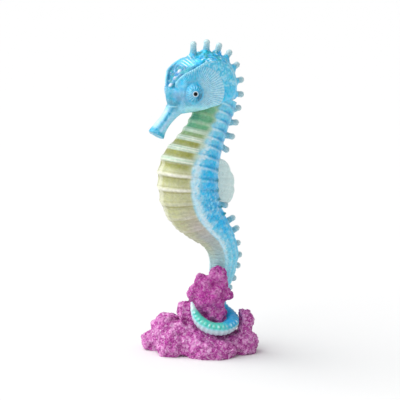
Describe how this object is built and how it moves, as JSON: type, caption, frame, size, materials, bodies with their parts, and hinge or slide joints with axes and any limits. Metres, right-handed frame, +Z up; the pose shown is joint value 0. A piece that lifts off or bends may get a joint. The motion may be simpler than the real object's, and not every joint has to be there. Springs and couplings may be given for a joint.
{
  "type": "toy seahorse figurine",
  "caption": "Moulded plastic toy seahorse standing upright, its tail curled round a lump of glittery coral rock that is its base.",
  "frame": {"origin": "centre of the bounding box on the flat underside of the rock", "axes": "+Z up. The seahorse faces -X and its plane of symmetry is parallel to the XZ plane. The length of the rock is turned 34 degrees clockwise from +X, seen from above."},
  "size_m": [0.0414, 0.0348, 0.1144],
  "materials": {
    "blue_skin": "pearly sky-blue paint on soft plastic",
    "eye": "blue turret with a small black pupil",
    "neck_skin": "pearly blue back fading to a green throat",
    "belly_skin": "pearly yellow-green belly fading to a blue back",
    "tail_skin": "pearly grey front fading to a blue back",
    "coil_skin": "teal above and pearl below",
    "fin": "milky translucent aqua plastic",
    "rock": "magenta plastic full of fine glitter"
  },
  "bodies": {
    "root": {"head": "blue_skin", "snout": "blue_skin", "cheek_left": "blue_skin", "cheek_right": "blue_skin", "eye_left": "eye", "eye_right": "eye", "neck": "neck_skin", "trunk_upper": "belly_skin", "trunk_lower": "belly_skin", "tail_upper": "tail_skin", "tail_middle": "tail_skin", "tail_coil": "coil_skin", "tail_tip": "coil_skin", "dorsal_fin": "fin", "base_rock": "rock", "base_outcrop": "rock", "base_knob": "rock"}
  },
  "joints": []
}
